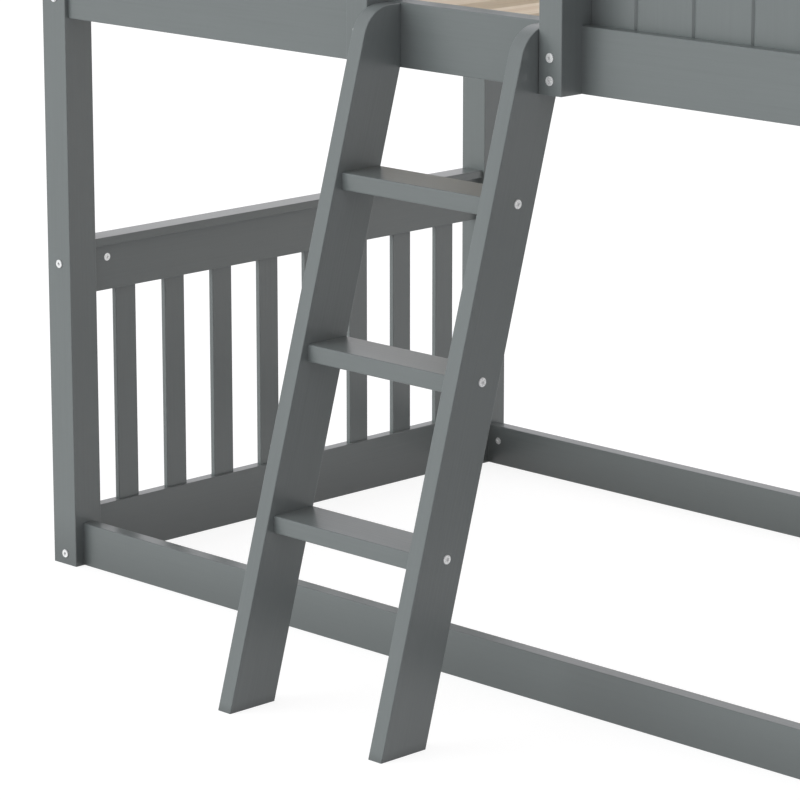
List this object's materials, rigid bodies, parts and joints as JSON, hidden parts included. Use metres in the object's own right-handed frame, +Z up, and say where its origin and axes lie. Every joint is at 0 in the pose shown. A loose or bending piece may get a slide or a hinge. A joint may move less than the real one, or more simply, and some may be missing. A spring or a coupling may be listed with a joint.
{
  "type": "bunk bed with ladder",
  "caption": "Painted timber bunk bed with slatted end panels, grooved guard panels, a slatted upper deck, an angled ladder and a lower bunk open to the floor.",
  "frame": {"origin": "on the floor, under the middle of the whole object's box, ladder included", "axes": "+X along the bed, +Y from the front (ladder side) to the back, +Z up"},
  "size_m": [2.004, 1.406, 1.4],
  "materials": {
    "painted_wood": "satin slate grey paint over close-grained softwood",
    "bare_pine": "bare planed pine",
    "zinc_steel": "bright zinc plate",
    "dowel_wood": "plain fluted dowel"
  },
  "bodies": {
    "root": {"corner_post_front_left": "painted_wood", "corner_post_front_right": "painted_wood", "corner_post_back_left": "painted_wood", "corner_post_back_right": "painted_wood", "lower_rail_front": "painted_wood", "upper_rail_front": "painted_wood", "slat_ledger_front": "painted_wood", "lower_rail_back": "painted_wood", "upper_rail_back": "painted_wood", "slat_ledger_back": "painted_wood", "left_end_bottom_board": "painted_wood", "left_end_top_board": "painted_wood", "left_end_slats": "painted_wood", "left_end_cap": "painted_wood", "left_guard_bottom_board": "painted_wood", "left_guard_top_board": "painted_wood", "left_guard_slats": "painted_wood", "left_guard_cap": "painted_wood", "guard_post_left": "painted_wood", "front_panel_left": "painted_wood", "front_guard_board_left": "painted_wood", "front_guard_cap_left": "painted_wood", "ladder_stringer_left": "painted_wood", "right_end_bottom_board": "painted_wood", "right_end_top_board": "painted_wood", "right_end_slats": "painted_wood", "right_end_cap": "painted_wood", "right_guard_bottom_board": "painted_wood", "right_guard_top_board": "painted_wood", "right_guard_slats": "painted_wood", "right_guard_cap": "painted_wood", "guard_post_right": "painted_wood", "front_panel_right": "painted_wood", "front_guard_board_right": "painted_wood", "front_guard_cap_right": "painted_wood", "ladder_stringer_right": "painted_wood", "back_guard_board": "painted_wood", "back_guard_slats": "painted_wood", "back_guard_cap": "painted_wood", "ladder_tread_1": "painted_wood", "ladder_tread_2": "painted_wood", "ladder_tread_3": "painted_wood", "deck_slats": "bare_pine", "frame_bolts": "zinc_steel", "barrel_nuts": "zinc_steel", "guard_post_bolts": "zinc_steel", "threaded_inserts": "zinc_steel", "ladder_bolts": "zinc_steel", "tread_bolts": "zinc_steel", "tread_nuts": "zinc_steel", "wood_screws": "zinc_steel", "dowels": "dowel_wood", "cap_dowels": "dowel_wood"}
  },
  "joints": []
}
